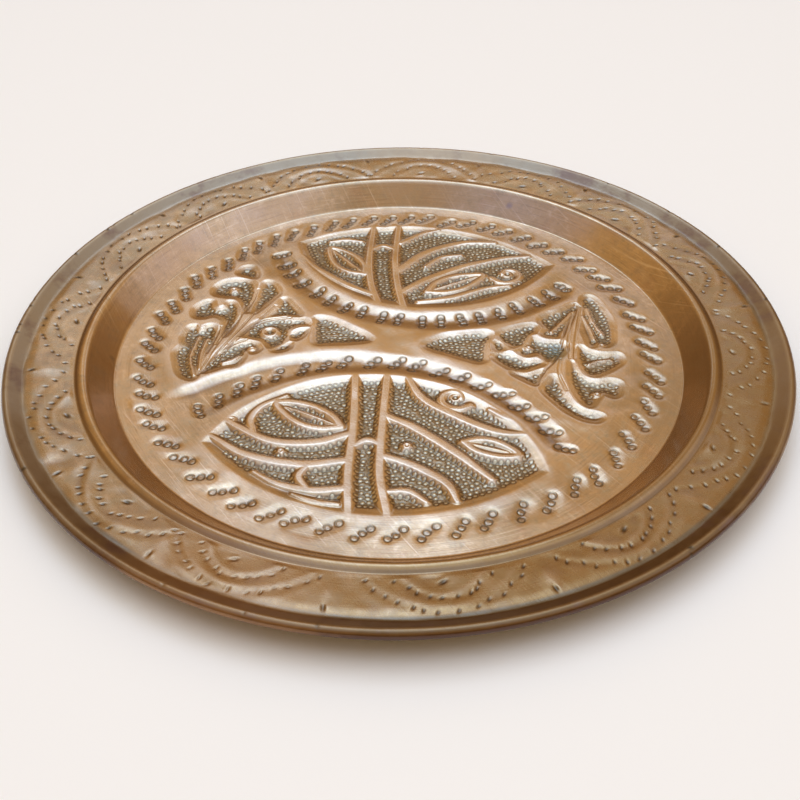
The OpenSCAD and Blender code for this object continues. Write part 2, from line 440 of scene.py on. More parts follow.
def channels():
    """The two curved troughs and their rows of bars."""
    for ch in CHANNELS:
        inside = np.minimum(-circle_inside(*ch["inner"]), circle_inside(*ch["outer"]))
        angle = np.degrees(np.arctan2(GY - ch["centre"][1], GX - ch["centre"][0])) % 360
        low, high = sorted((ch["start"], ch["end"]))
        past_end = np.minimum(angle - low, high - angle) * math.radians(ch["r"]) + 6.0
        top[:] -= TROUGH_DEPTH * smooth(inside / TROUGH_SLOPE) * smooth(past_end / 14.0)
        for angle in np.linspace(ch["start"], ch["end"], ch["count"]):
            turned = angle + rng.normal(0, 0.5)
            centre = np.array(ch["centre"]) + polar(ch["r"] + rng.normal(0, 0.5), turned)
            direction = polar(1, turned + ch["slant"] + rng.normal(0, 3))
            sink_bar(centre, direction, ch["bar"], ch["rings"], 0.28, 2.6)


def border_bars():
    angle = 1.0
    while angle < 358.5:
        far = math.sin(math.radians(angle))
        turned = angle + rng.normal(0, 0.4)
        centre = polar(BORDER["r"] + rng.normal(0, 0.7), turned)
        direction = polar(1, turned + 180 - BORDER["slant"] + rng.normal(0, 5))
        depth = BORDER["depth"] + BORDER["deeper"] * far
        sink_bar(centre, direction, BORDER["bar"], BORDER["rings"], depth, 5.6)
        angle += BORDER["step"] - BORDER["closer"] * far


def stem_lines():
    for points in STEM_LINES:
        line = curve(points)
        win = Window(line[:, :2].min(0), line[:, :2].max(0), 3.0)
        d = rib_distance(win, line[:, :2], line[:, 2])
        top[win.at] -= 0.34 * smooth(0.5 - d / 0.9)


def ground_punches(gap):
    """Places for the small ring punches: rows along the cells' edges first, then the rest."""
    room = np.argwhere((cell > 2.1) & (np.hypot(GX, GY) < HALF - 4))
    spots = room[rng.permutation(len(room))[:90000]]
    depth = cell[spots[:, 0], spots[:, 1]]
    order = np.argsort(np.floor(depth / 0.5), kind="stable")
    taken = {}
    kept = []
    for row, col in spots[order]:
        x, y = axis[col], axis[row]
        i, j = int(x // gap), int(y // gap)
        near = [q for a in (-1, 0, 1) for b in (-1, 0, 1) for q in taken.get((i + a, j + b), ())]
        if all((x - u) ** 2 + (y - v) ** 2 > gap * gap for u, v in near):
            taken.setdefault((i, j), []).append((x, y))
            kept.append((x, y))
    return kept


ring_shade = np.zeros_like(GX)    # 1 in the grooves of the ring punches
pearl = np.zeros_like(GX)         # 1 on the domes in the middle of the rings


def stamp_rings(centres, radius, depth, shade, shine):
    for x, y in centres:
        win = Window((x, y), (x, y), radius * 1.7)
        rho = np.hypot(win.x - x, win.y - y)
        size = radius * rng.uniform(0.92, 1.08)
        groove = bell(rho - size, 0.30)
        disc = smooth((size - 0.1 - rho) / 0.35)
        top[win.at] -= depth * rng.uniform(0.65, 1.15) * groove
        np.maximum(ring_shade[win.at], shade * groove, out=ring_shade[win.at])
        np.maximum(pearl[win.at], shine * disc, out=pearl[win.at])


def eased(coarse, down, across):
    """Values between the points of a coarse grid, whose columns join up."""
    i, j = down.astype(int), across.astype(int)
    f, g = smooth(down - i)[:, None], smooth(across - j)
    rows = coarse[i] * (1 - f) + coarse[i + 1] * f
    return rows[:, j] * (1 - g) + rows[:, (j + 1) % coarse.shape[1]] * g


def undulation(scale, size):
    """Smooth random dents, as left by a hammer."""
    count = int(2 * HALF / scale) + 4
    at = (axis + HALF) / scale
    return size * eased(rng.normal(0, 1, (count, count)), at, at)


channels()
border_bars()
stem_lines()
lens_panels()
leaf_cells()
raised_lines()
recess = smooth((cell + 0.5) / EDGE_SLOPE)
top -= CELL_DEPTH * recess + SKIRT_DEPTH * blurred(smooth((cell + SKIRT_RUN - 1.0) / SKIRT_RUN), SOFTEN)
top += LIP * smooth(-cell / LIP_RUN) * blurred(smooth((FAR_OUT + cell) / 6.0), SOFTEN)
top += undulation(11.0, 0.09) + undulation(5.0, 0.022)
plain_top = top.copy()
stamp_rings(ground_punches(PUNCH_GAP), PUNCH_R, 0.20, 0.8, 1.0)
stamp_rings(big_rings, BAR_PUNCH_R, 0.24, 1.0, 0.1)
# Above 0 on high places, which are rubbed bright, and below 0 in hollows
worn = (plain_top - blurred(plain_top, 3.6)) / 0.30
rim_fade = smooth((JOIN_R - 1.0 - np.hypot(GX, GY)) / 3.0)
top *= rim_fade
under = -np.clip(blurred(np.clip(-top, 0, PANEL_DEPTH), 0.9) * 1.06, 0, PANEL_DEPTH) * rim_fade


def sampled(field, x, y):
    """Bilinear values of a raster at points."""
    u = np.clip((np.asarray(x) + HALF) / PITCH, 0, len(axis) - 1.001)
    v = np.clip((np.asarray(y) + HALF) / PITCH, 0, len(axis) - 1.001)
    i, j = u.astype(int), v.astype(int)
    fu, fv = u - i, v - j
    low = field[j, i] * (1 - fu) + field[j, i + 1] * fu
    high = field[j + 1, i] * (1 - fu) + field[j + 1, i + 1] * fu
    return low * (1 - fv) + high * fv


# ---- the sheet's profile
BEND_POINTS = 25


def unit(v):
    return v / np.linalg.norm(v)


def bend(a, b, c, r):
    """Points round the bend at corner b of the line a-b-c."""
    to_a, to_c = unit(a - b), unit(c - b)
    half = math.acos(float(np.dot(to_a, to_c))) / 2
    centre = b + unit(to_a + to_c) * r / math.sin(half)
    from_c = b + to_a * r / math.tan(half) - centre
    to_end = b + to_c * r / math.tan(half) - centre
    start = math.atan2(from_c[1], from_c[0])
    turn = (math.atan2(to_end[1], to_end[0]) - start + math.pi) % (2 * math.pi) - math.pi
    a = start + turn * np.linspace(0, 1, BEND_POINTS)
    return centre + r * np.stack([np.cos(a), np.sin(a)], 1)


def sheet_line():
    """The sheet's middle line from the join to the roll, and the roll's start angle."""
    valley_at = WIRE_RING_R - COVE_RUN
    groove_at = valley_at - FLANGE_W
    crest_at = groove_at - BEAD_FLANK
    floor_r = crest_at - WALL_RUN
    floor_z = PANEL_DEPTH + SHEET_T / 2
    crest_z = floor_z + WELL_DEPTH
    groove_z = crest_z - BEAD_H
    wall = math.atan2(WELL_DEPTH, WALL_RUN)
    flank = math.atan2(BEAD_H, BEAD_FLANK)
    crest_half = (math.pi - wall - flank) / 2
    lift = CREST_R * (math.cos((wall - flank) / 2) / math.sin(crest_half) - 1)
    start, crease, crest, groove, brow, valley, wire = np.array([
        (JOIN_R, floor_z), (floor_r, floor_z), (crest_at, crest_z + lift), (groove_at, groove_z),
        (valley_at - BROW_W, groove_z + FLANGE_RISE), (valley_at, groove_z + FLANGE_RISE - BROW_DROP),
        (WIRE_RING_R, WIRE_Z)])
    to_wire = wire - valley
    slope = math.atan2(to_wire[1], to_wire[0]) + math.asin(ROLL_MID_R / np.linalg.norm(to_wire))
    roll_start = math.degrees(slope) + 90
    end = wire + polar(ROLL_MID_R, roll_start)
    line = np.concatenate([
        [start], bend(start, crease, crest, CREASE_R), bend(crease, crest, groove, CREST_R),
        bend(crest, groove, brow, GROOVE_R), bend(groove, brow, valley, BROW_R),
        bend(brow, valley, end, VALLEY_R), [end]])
    return line, roll_start, wire


def stations():
    """Middle points and upward normals of the sheet, from the join to the roll's cut edge."""
    line, roll_start, wire = sheet_line()
    step = np.hypot(*np.diff(line, axis=0).T)
    keep = np.r_[True, step > 1e-6]
    line = line[keep]
    s = np.r_[0, np.cumsum(np.hypot(*np.diff(line, axis=0).T))]
    at = np.linspace(0, s[-1], int(round(s[-1] / RING_STEP)) + 1)
    mid = np.stack([np.interp(at, s, line[:, k]) for k in (0, 1)], 1)
    fine = np.linspace(0, s[-1], 8 * len(at))
    dense = np.stack([np.interp(fine, s, line[:, k]) for k in (0, 1)], 1)
    slope = np.gradient(dense, fine, axis=0)
    kernel = np.ones(9) / 9
    along = np.stack([np.interp(at, fine, np.convolve(np.pad(slope[:, k], 4, mode="edge"), kernel,
                                                      mode="valid")) for k in (0, 1)], 1)
    normal = np.stack([-along[:, 1], along[:, 0]], 1)
    normal /= np.linalg.norm(normal, axis=1, keepdims=True)
    turns = int(round((roll_start - ROLL_END) / ROLL_STEP))
    a = np.radians(np.linspace(roll_start, ROLL_END, turns + 1))[1:]
    out = np.stack([np.cos(a), np.sin(a)], 1)
    return (np.concatenate([mid, wire + ROLL_MID_R * out]), np.concatenate([normal, out]))


MID, NORMAL = stations()
STATIONS = len(MID)

# ---- the punched flange
STROKE = 0.66           # half width of the arches' strokes
# The outer and inner arches: half angle, foot's radius, rise, strokes, least and most push
ARCHES = ((11.3, 144.5, 15.0, 14, 0.35, 1.0), (6.3, 144.3, 9.0, 10, 0.45, 1.1))
# Angles of the arches' middles
MOTIFS = [17.5, 40, 62, 84, 107, 129, 151, 176, 202, 225, 247, 276, 303, 327, 353]
theta = -45.0 + 90.0 / CELLS * np.arange(COLUMNS)


def ring_undulation(radius, scale, size):
    """Smooth random dents round the tray."""
    around = int(2 * math.pi * 155 / scale)
    across = int(np.ptp(radius) / scale) + 3
    coarse = rng.normal(0, 1, (across, around))
    return size * eased(coarse, (radius - radius.min()) / scale, (theta + 45.0) / 360.0 * around)


def flange_relief(radius):
    """Height of the flange's pattern, and its punch marks, for every station and column."""
    relief = np.zeros((len(radius), COLUMNS))
    marks = np.zeros_like(relief)
    r = radius[:, None]

    def columns(low, high):
        return np.flatnonzero(((theta - low) % 360) < (high - low) % 360)

    def turned_from(cols, angle):
        return ((theta[cols] - angle + 180) % 360 - 180)[None, :]

    def punch(angle, at_r, size, depth, lean):
        """A short stroke, longer along its lean, with the metal pushed up on one side."""
        cols = columns(angle - 2.2, angle + 2.2)
        u = np.radians(turned_from(cols, angle)) * r
        v = r - at_r
        c, s = math.cos(lean), math.sin(lean)
        along, across = c * u + s * v, c * v - s * u
        dent = bell(np.hypot(along / 1.5, across / 0.72), size)
        swell = bell(np.hypot(along / 1.6, (across + size) / 0.9), size)
        relief[:, cols] += depth * (0.30 * swell - dent)
        marks[:, cols] = np.maximum(marks[:, cols], bell(np.hypot(along / 1.5, across / 1.0), size * 0.85))

    def arch(centre, half, foot, rise, count, push):
        """A row of strokes along an arch, with the metal pushed up inside it."""
        cols = columns(centre - half - 2, centre + half + 2)
        a = turned_from(cols, centre)
        steep = np.hypot(1, 2 * rise * a / half ** 2 / (math.radians(1) * 150))
        away = (r - (foot + rise * (1 - (a / half) ** 2))) / steep
        fade = smooth((half + 1.5 - np.abs(a)) / 3)
        relief[:, cols] += push * fade * (0.17 * bell(away + 2.6, 1.9) - 0.12 * bell(away, 1.5)
                                          + 0.08 * bell(away - 3.0, 1.8))
        for t in np.linspace(-1, 1, count):
            angle = half * math.copysign(abs(t) ** 0.85, t)
            turned = centre + angle + rng.normal(0, 0.3)
            at_r = foot + rise * (1 - (angle / half) ** 2) + rng.normal(0, 0.4)
            depth = rng.uniform(0.20, 0.42)
            punch(turned, at_r, STROKE, depth, math.radians(-52) + rng.normal(0, 0.25))

    for k, centre in enumerate(MOTIFS):
        following = MOTIFS[(k + 1) % len(MOTIFS)] + (360 if k + 1 == len(MOTIFS) else 0)
        for half, foot, rise, count, least, most in ARCHES:
            arch(centre, half, foot, rise, count, rng.uniform(least, most))
        punch(centre + rng.normal(0, 0.5), 145.4, 1.1, 0.42, math.radians(-30))
        valley = (centre + following) / 2 + rng.normal(0, 0.4)
        punch(valley, 158.2, 1.05, 0.36, math.radians(85) + rng.normal(0, 0.1))
        cols = columns(valley - 4, valley + 4)
        u = np.radians(turned_from(cols, valley)) * r
        relief[:, cols] += 0.26 * bell(np.hypot(u / 1.2, (r - 151) / 1.8), 2.6)
    relief += ring_undulation(radius, 11.0, 0.13) + ring_undulation(radius, 4.5, 0.035)
    inside = smooth((r - 141.2) / 2.0) * smooth((162.6 - r) / 1.6)
    relief *= inside
    marks *= inside
    # Dents outside the pattern, and nicks along the rolled edge
    wall = smooth((r - JOIN_R) / 3) * (1 - inside)
    relief += wall * ring_undulation(radius, 11.0, 0.03)
    outer = smooth((r - 166.0) / 1.5)
    for angle in rng.uniform(0, 360, 26):
        cols = columns(angle - 1.5, angle + 1.5)
        u = np.radians(turned_from(cols, angle)) * r
        nick = outer * bell(u, rng.uniform(0.5, 1.1)) * bell(r - rng.uniform(167.5, 169.8), 1.0)
        relief[:, cols] -= 0.16 * nick
        marks[:, cols] = np.maximum(marks[:, cols], nick)
    return relief, marks


def flange_wear(relief):
    """How far the flange's pattern stands over its surroundings."""
    along, around = 6, 12       # half the size of the patch that is averaged, in lattice steps
    padded = np.pad(relief, ((along, along), (around, around)), mode="wrap")
    sums = np.cumsum(np.cumsum(padded, 0), 1)
    low, left = slice(0, len(relief)), slice(0, COLUMNS)
    high, right = slice(2 * along, 2 * along + len(relief)), slice(2 * around, 2 * around + COLUMNS)
    total = sums[high, right] - sums[low, right] - sums[high, left] + sums[low, left]
    return (relief - total / (4 * along * around)) / 0.16


flange_top, flange_marks = flange_relief(MID[:, 0])
flange_worn = flange_wear(flange_top)


# ---- lattices
def disc_points():
    """The floor's lattice: an equal-area map of a square on the disc inside the join."""
    t = np.linspace(-1, 1, CELLS + 1)
    u, v = np.meshgrid(t, t, indexing="ij")
    wide = np.abs(u) >= np.abs(v)
    r = np.where(wide, u, v)
    with np.errstate(divide="ignore", invalid="ignore"):
        phi = np.where(wide, math.pi / 4 * v / u, math.pi / 2 - math.pi / 4 * u / v)
    phi = np.nan_to_num(phi)
    return JOIN_R * r * np.cos(phi), JOIN_R * r * np.sin(phi)


def round_square(n):
    """The points round a square of n steps a side, as a coordinate that starts by rising."""
    k = np.arange(n)
    return np.concatenate([k, np.full(n, n), n - k, np.zeros(n, int)])


class Lattice:
    """A grid of points that a quadtree thins out where the surface is nearly flat."""

    def __init__(self, ids, fit, tolerance, flip=False):
        self.ids = ids
        self.flip = flip
        rows, cols = ids.shape[0] - 1, ids.shape[1] - 1
        level = np.zeros((rows, cols), np.int8)
        size = 2
        rank = 1
        while size <= BLOCK:
            flat = self.error(fit, size) < tolerance
            lower = level.reshape(rows // size, size, cols // size, size).min((1, 3)) >= rank - 1
            good = flat & lower
            level[np.repeat(np.repeat(good, size, 0), size, 1)] = rank
            size *= 2
            rank += 1
        self.level = self.graded(level)

    @staticmethod
    def error(fit, size):
        """How far each block's points lie from its four corners' bilinear patch."""
        rows, cols = fit.shape[0] - size, fit.shape[1] - size

        def every(a, b):
            """The blocks' points at row a and column b."""
            return fit[a:a + rows:size, b:b + cols:size]

        worst = None
        for a in range(size + 1):
            for b in range(size + 1):
                fa, fb = a / size, b / size
                patch = 0
                for ca, cb, w in ((0, 0, (1 - fa) * (1 - fb)), (size, 0, fa * (1 - fb)),
                                  (0, size, (1 - fa) * fb), (size, size, fa * fb)):
                    patch = patch + w * every(ca, cb)
                gap = np.sqrt(((every(a, b) - patch) ** 2).sum(-1))
                worst = gap if worst is None else np.maximum(worst, gap)
        return worst

    @staticmethod
    def graded(level):
        """Neighbouring faces differ by at most one level."""
        for _ in range(4):
            for rank in (3, 2):
                size = 2 ** rank
                rows, cols = level.shape
                padded = np.pad(level, 1, mode="edge")
                low = np.minimum.reduce([padded[a:a + rows, b:b + cols]
                                         for a in (0, 1, 2) for b in (0, 1, 2)])
                shape = (rows // size, size, cols // size, size)
                least = low.reshape(shape).min((1, 3))
                whole = (level.reshape(shape) == rank).all((1, 3))
                split = whole & (least < rank - 1)
                level[np.repeat(np.repeat(split, size, 0), size, 1)] = rank - 1
        return level

    def blocks(self, rank):
        size = 2 ** rank
        shape = (self.level.shape[0] // size, size, self.level.shape[1] // size, size)
        i, j = np.nonzero((self.level.reshape(shape) == rank).all((1, 3)))
        return i * size, j * size, size

    def mark(self, used):
        for rank in range(4):
            i, j, size = self.blocks(rank)
            for a, b in ((0, 0), (size, 0), (size, size), (0, size)):
                used[self.ids[i + a, j + b]] = True

    def faces(self, used):
        """Every face's count of corners, then the corners' vertices, rows, columns and first row."""
        found = []
        for rank in range(4):
            i, j, size = self.blocks(rank)
            if not len(i):
                continue
            a = round_square(size)
            b = np.roll(a, size)
            if self.flip:
                a, b = a[::-1], b[::-1]
            ii, jj = i[:, None] + a, j[:, None] + b
            vid = self.ids[ii, jj]
            keep = used[vid]
            total = keep.sum(1)
            found.append((total, vid[keep], ii[keep], jj[keep], np.repeat(i, total)))
        return [np.concatenate(part) for part in zip(*found)]


def tray_mesh():
    n = CELLS
    x, y = disc_points()
    disc_count = (n + 1) ** 2
    top_z = FLOOR_TOP + sampled(top, x, y)
    under_z = PANEL_DEPTH + sampled(under, x, y)
    top_ids = np.arange(disc_count).reshape(n + 1, n + 1)
    under_ids = top_ids + disc_count
    edge_j = round_square(n)        # counter-clockwise from -45 degrees
    edge_i = np.roll(edge_j, -n)

    # Rings: top skin outwards, the cut edge, then the underside inwards
    edge_steps = BLOCK - (2 * (STATIONS - 1)) % BLOCK
    t = np.linspace(1, -1, edge_steps + 1)[1:-1]
    station = np.concatenate([np.arange(STATIONS), np.full(len(t), STATIONS - 1), np.arange(STATIONS)[::-1]])
    side = np.concatenate([np.ones(STATIONS), t, -np.ones(STATIONS)])
    ring_count = len(station)
    split = STATIONS + len(t) // 2
    strength = np.select([side == 1, side == -1], [1.0, UNDER_RELIEF])
    offset = side[:, None] * SHEET_T / 2 + strength[:, None] * flange_top[station]
    ring_r, ring_z = (np.minimum(MID[station, k][:, None] + NORMAL[station, k][:, None] * offset, limit)
                      for k, limit in ((0, TRAY_R), (1, sheet_high[2])))
    a = np.radians(theta)[None, :]
    ring_x, ring_y = ring_r * np.cos(a), ring_r * np.sin(a)

    rim_ids = 2 * disc_count + np.arange((ring_count - 2) * COLUMNS).reshape(ring_count - 2, COLUMNS)
    rim_ids = np.concatenate([top_ids[edge_i, edge_j][None], rim_ids, under_ids[edge_i, edge_j][None]])
    rim_ids = np.concatenate([rim_ids, rim_ids[:, :1]], 1)

    rings = np.stack([ring_x, ring_y, ring_z], -1)
    points = np.concatenate([
        np.stack([x, y, top_z], -1).reshape(-1, 3), np.stack([x, y, under_z], -1).reshape(-1, 3),
        rings[1:-1].reshape(-1, 3)])
    wrapped = np.concatenate([rings, rings[:, :1]], 1)
    parts = [
        Lattice(top_ids, top_z[..., None], TOP_FIT),
        Lattice(under_ids, under_z[..., None], UNDER_FIT, flip=True),
        Lattice(rim_ids, wrapped, RIM_FIT),
    ]
    used = np.zeros(len(points), bool)
    for part in parts:
        part.mark(used)
    sheets = [part.faces(used) for part in parts]

    # Maps: the top skin's flattened disc on the left, the underside's on the right
    arc = JOIN_R + np.r_[0, np.cumsum(np.hypot(*np.diff(MID, axis=0).T))]
    reach = arc[-1] + SHEET_T
    uv = []
    for part, (totals, corners, rows, cols, start) in zip(parts, sheets):
        if part is parts[2]:
            on_top = start < split
            flat = arc[station[rows]] + np.where(on_top, 1 - side[rows], 1 + side[rows]) * SHEET_T / 2
            angle = np.radians(theta[cols % COLUMNS])
            px, py = flat * np.cos(angle), flat * np.sin(angle)
        else:
            on_top = np.full(len(rows), part is parts[0])
            px, py = x[rows, cols], y[rows, cols]
        centre = np.where(on_top, 0.25, 0.75)
        mirror = np.where(on_top, 1.0, -1.0)
        uv.append(np.stack([centre + mirror * MAP_R * px / reach, 0.25 + MAP_R * py / reach], 1))

    totals = np.concatenate([s[0] for s in sheets])
    corners = np.concatenate([s[1] for s in sheets])
    new_id = np.cumsum(used) - 1
    mesh = bpy.data.meshes.new("tray")
    mesh.vertices.add(int(used.sum()))
    mesh.loops.add(len(corners))
    mesh.polygons.add(len(totals))
    mesh.vertices.foreach_set("co", (points[used] * MM).ravel())
    mesh.loops.foreach_set("vertex_index", new_id[corners].astype(np.int32))
    mesh.polygons.foreach_set("loop_start", np.r_[0, np.cumsum(totals)[:-1]].astype(np.int32))
    mesh.polygons.foreach_set("use_smooth", np.ones(len(totals), bool))
    mesh.uv_layers.new(name="OFBake").uv.foreach_set("vector", np.concatenate(uv).ravel())
    mesh.update(calc_edges=True)

    # Where the surface is recessed, marked by a punch, domed or worn
    shades = {"recess": recess, "groove": ring_shade, "pearl": pearl, "worn": worn}
    flat_x, flat_y = x.ravel(), y.ravel()
    rim_shades = {"groove": flange_marks, "worn": flange_worn}
    for name, field in shades.items():
        values = np.zeros(len(points))
        values[:disc_count] = sampled(field * rim_fade, flat_x, flat_y)
        if name in rim_shades:
            ring_values = np.where(side[:, None] == 1, rim_shades[name][station], 0.0)
            values[2 * disc_count:] = ring_values[1:-1].ravel()
        mesh.attributes.new(name, "FLOAT", "POINT").data.foreach_set("value", values[used])
    return mesh


# ---- materials
def shader(name, values):
    """A new material, with values on the sockets of its Principled BSDF."""
    material = bpy.data.materials.new(name)
    material.use_nodes = True
    bsdf = material.node_tree.nodes["Principled BSDF"]
    for socket, value in values.items():
        bsdf.inputs[socket].default_value = value
    return material, bsdf


class Graph:
    """Short ways to add and link shader nodes."""

    def __init__(self, material):
        self.nodes = material.node_tree.nodes
        self.links = material.node_tree.links

    def feed(self, socket, value):
        if hasattr(value, "is_linked"):
            self.links.new(value, socket)
        else:
            socket.default_value = value

    def add(self, kind, inputs=(), **settings):
        made = self.nodes.new("ShaderNode" + kind)
        for key, value in settings.items():
            setattr(made, key, value)
        for key, value in dict(inputs).items():
            self.feed(made.inputs[key], value)
        return made

    def math(self, operation, a, b=0.0, clamp=False):
        return self.add("Math", {0: a, 1: b}, operation=operation, use_clamp=clamp).outputs[0]

    def times(self, a, b, clamp=False):
        return self.math("MULTIPLY", a, b, clamp)

    def leaning(self, x, y, along_x, along_y):
        """How far a point lies along a direction."""
        return self.math("ADD", self.times(x, along_x), self.times(y, along_y))

    def band(self, value, low, full, down, end, height=1.0):
        """Rises from low to full, and falls again from down to end."""
        return self.times(self.span(value, low, full, 0.0, height), self.span(value, end, down))

    def mix(self, fac, a, b, blend="MIX"):
        return self.add("Mix", {0: fac, 6: a, 7: b}, data_type="RGBA", blend_type=blend).outputs[2]

    def span(self, value, low, high, to_low=0.0, to_high=1.0):
        return self.add("MapRange", {"Value": value, "From Min": low, "From Max": high, "To Min": to_low,
                                     "To Max": to_high}).outputs[0]

    def noise(self, vector, scale, detail=4.0, rough=0.55):
        return self.add("TexNoise", {"Vector": vector, "Scale": scale, "Detail": detail,
                                     "Roughness": rough}).outputs["Fac"]


# Stains on the copper, then three broad patches, brown at the right and the front left and golden brown at
# the back: x, y in millimetres, radius, colour, strength
STAINS_AND_PATCHES = [
    (70, -3, 9.0, (0.16, 0.26, 0.26, 1), 0.75),
    (63, 33, 4.5, (0.20, 0.10, 0.16, 1), 0.85),
    (67, 24, 5.0, (0.30, 0.33, 0.32, 1), 0.6),
    (-25, -94, 4.0, (0.16, 0.07, 0.05, 1), 0.8),
    (60, 118, 3.0, (0.16, 0.12, 0.20, 1), 0.8),
    (-125, -6, 4.0, (0.04, 0.04, 0.05, 1), 0.9),
    (88, 128, 2.6, (0.05, 0.05, 0.06, 1), 0.9),
    (150, -45, 80.0, (0.36, 0.22, 0.10, 1), 0.65),
    (-60, -140, 55.0, (0.42, 0.22, 0.09, 1), 0.6),
    (20, 150, 45.0, (0.50, 0.30, 0.15, 1), 0.5),
]


def copper():
    """The sheet's metal. Radii and heights are in metres here."""
    material, bsdf = shader("aged_copper", {"Metallic": 1.0, "Coat Roughness": 0.14, "Coat IOR": 2.1})
    g = Graph(material)
    place = g.add("TexCoord").outputs["Object"]
    x, y, height = g.add("SeparateXYZ", {0: place}).outputs
    radius = g.math("SQRT", g.math("ADD", g.times(x, x), g.times(y, y)))
    turned = g.add("CombineXYZ", {0: g.times(radius, 1000.0), 1: g.times(g.math("ARCTAN2", y, x), 3.0)})
    brushed = g.noise(turned.outputs[0], 1.5, 4.0, 0.72)
    along = g.times(g.leaning(x, y, 0.57, -0.82), 25.0)
    across = g.times(g.leaning(x, y, 0.82, 0.57), 1000.0)
    rubs = g.noise(g.add("CombineXYZ", {0: along, 1: across}).outputs[0], 1.0, 2.0, 0.6)
    cloud = g.noise(place, 18.0, 5.0, 0.62)
    blotch = g.noise(place, 55.0, 4.0, 0.6)
    mottle = g.noise(place, 190.0, 8.0, 0.72)
    fine = g.noise(place, 900.0, 4.0, 0.65)
    flange = g.span(radius, 0.140, 0.143)
    # 1 on the front side, which is painted darker and browner as painted shade, 0 on the far side
    toward = g.leaning(x, y, 0.42, -0.91)
    front = g.span(g.math("ADD", toward, g.span(blotch, 0.3, 0.7, -0.04, 0.04)), -0.06, 0.10)

    # Copper in shades of gold and brown, with brush lines, and lighter in the middle of the floor as a
    # painted reflection
    colour = g.mix(g.span(cloud, 0.35, 0.68), (0.45, 0.26, 0.105, 1), (0.72, 0.45, 0.225, 1))
    for field, low, high, strength, tint in (
            (mottle, 0.52, 0.68, 0.55, (0.34, 0.225, 0.105, 1)),
            (mottle, 0.46, 0.34, 0.5, (0.80, 0.53, 0.31, 1)),
            (blotch, 0.56, 0.72, 0.4, (0.50, 0.235, 0.10, 1)),
            (brushed, 0.57, 0.74, 0.6, (0.84, 0.60, 0.40, 1)),
            (brushed, 0.45, 0.31, 0.55, (0.32, 0.175, 0.075, 1)),
            (rubs, 0.60, 0.74, 0.6, (0.86, 0.62, 0.42, 1)),
            # Lighter towards the middle of the floor: a painted reflection
            (radius, 0.080, 0.035, 0.4, (0.88, 0.62, 0.40, 1))):
        colour = g.mix(g.span(field, low, high, 0.0, strength), colour, tint)

    # Tarnish on the flange; painted shade that makes the front side darker and browner; and a dark line of
    # painted shade in the groove at the bead's foot
    colour = g.mix(g.times(flange, g.span(mottle, 0.35, 0.6, 0.25, 0.7)), colour, (0.36, 0.245, 0.135, 1))
    # Painted shade: the front side from the bead outwards is coloured darker and browner
    front_shade = g.times(g.times(g.span(radius, 0.134, 0.138), front), g.span(cloud, 0.35, 0.6, 0.5, 0.85))
    colour = g.mix(front_shade, colour, (0.33, 0.17, 0.05, 1))
    # A dark line of painted shade along the groove at the bead's foot
    foot = g.band(radius, 0.1386, 0.1396, 0.1404, 0.1414, 0.75)
    colour = g.mix(foot, colour, (0.20, 0.105, 0.045, 1))

    # Hollows hold dirt, high places are rubbed bright
    worn_by = g.add("Attribute", attribute_name="worn").outputs["Fac"]
    hollow = g.times(g.span(worn_by, -0.1, -1.0), g.span(blotch, 0.3, 0.6, 0.5, 0.9))
    rubbed = g.times(g.span(worn_by, 0.1, 1.0, 0.0, 0.5), g.span(flange, 0.0, 1.0, 1.0, 0.4))
    colour = g.mix(hollow, colour, (0.25, 0.125, 0.05, 1))
    colour = g.mix(rubbed, colour, (0.80, 0.56, 0.38, 1))

    # Mauve tarnish on the wall and the bead
    tarnish = g.times(g.band(radius, 0.122, 0.130, 0.134, 0.1375), g.span(cloud, 0.45, 0.65, 0.0, 0.45))
    colour = g.mix(tarnish, colour, (0.36, 0.25, 0.21, 1))

    # The rolled edge: dark brown on the front side as painted shade and pale grey on the far side as a
    # painted reflection, with random darker patches; a painted highlight on the crest, a dark olive line
    # along the valley on the front side, and painted shade on the lower outer side
    edge = g.times(g.span(radius, 0.1595, 0.1625), g.span(mottle, 0.35, 0.65, 0.96, 0.75))
    # Dark brown on the front side is painted shade; pale grey on the far side is a painted reflection
    rim_tint = g.mix(front, (0.36, 0.27, 0.18, 1), (0.165, 0.083, 0.028, 1))
    rim_tint = g.mix(g.span(blotch, 0.54, 0.66, 0.0, 0.7), rim_tint, (0.17, 0.09, 0.075, 1))
    colour = g.mix(edge, colour, rim_tint)
    # A painted highlight along the roll's crest
    crest = g.band(radius, 0.1662, 0.1671, 0.1679, 0.1687, 0.3)
    colour = g.mix(g.times(crest, g.span(cloud, 0.35, 0.6, 0.4, 1.0)), colour, (0.66, 0.42, 0.20, 1))
    # A dark olive line along the valley inside the roll, on the front side only
    valley_line = g.band(radius, 0.1600, 0.1609, 0.1618, 0.1627, 0.6)
    colour = g.mix(g.times(valley_line, front), colour, (0.15, 0.125, 0.085, 1))
    # Painted shade on the roll's lower outer side
    lip_shade = g.times(g.span(radius, 0.1672, 0.1684), g.span(height, 0.0146, 0.0138, 0.0, 0.9))
    colour = g.mix(lip_shade, colour, (0.09, 0.045, 0.035, 1))

